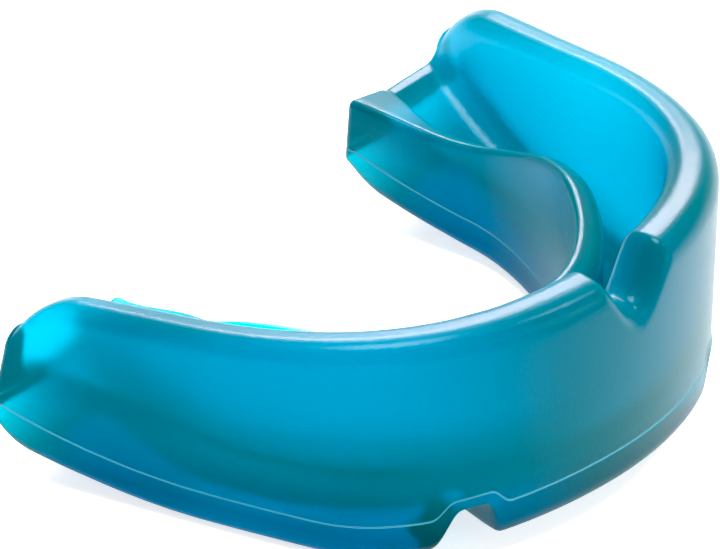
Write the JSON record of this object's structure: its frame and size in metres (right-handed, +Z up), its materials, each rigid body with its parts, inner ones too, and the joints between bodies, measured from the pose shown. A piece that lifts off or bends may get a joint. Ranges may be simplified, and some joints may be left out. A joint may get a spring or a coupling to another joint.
{
  "type": "boxing mouthguard",
  "caption": "Translucent horseshoe mouthguard: an upward-open tooth channel with a high lip-side wall, a low tongue-side ridge, a midline rim notch and a separate rounded sole.",
  "frame": {"origin": "bottom centre of the part's box, on the surface that the sole rests on", "axes": "+Z up, out of the tooth channel; the front of the arch faces -Y and the arms run towards +Y; +X is the arch's width"},
  "size_m": [0.073, 0.0464, 0.0243],
  "materials": {
    "channel_body": "translucent teal thermoplastic rubber, satin with a fine moulded texture",
    "sole": "translucent teal thermoplastic rubber, satin"
  },
  "bodies": {
    "root": {"channel_body": "channel_body", "sole": "sole"}
  },
  "joints": []
}
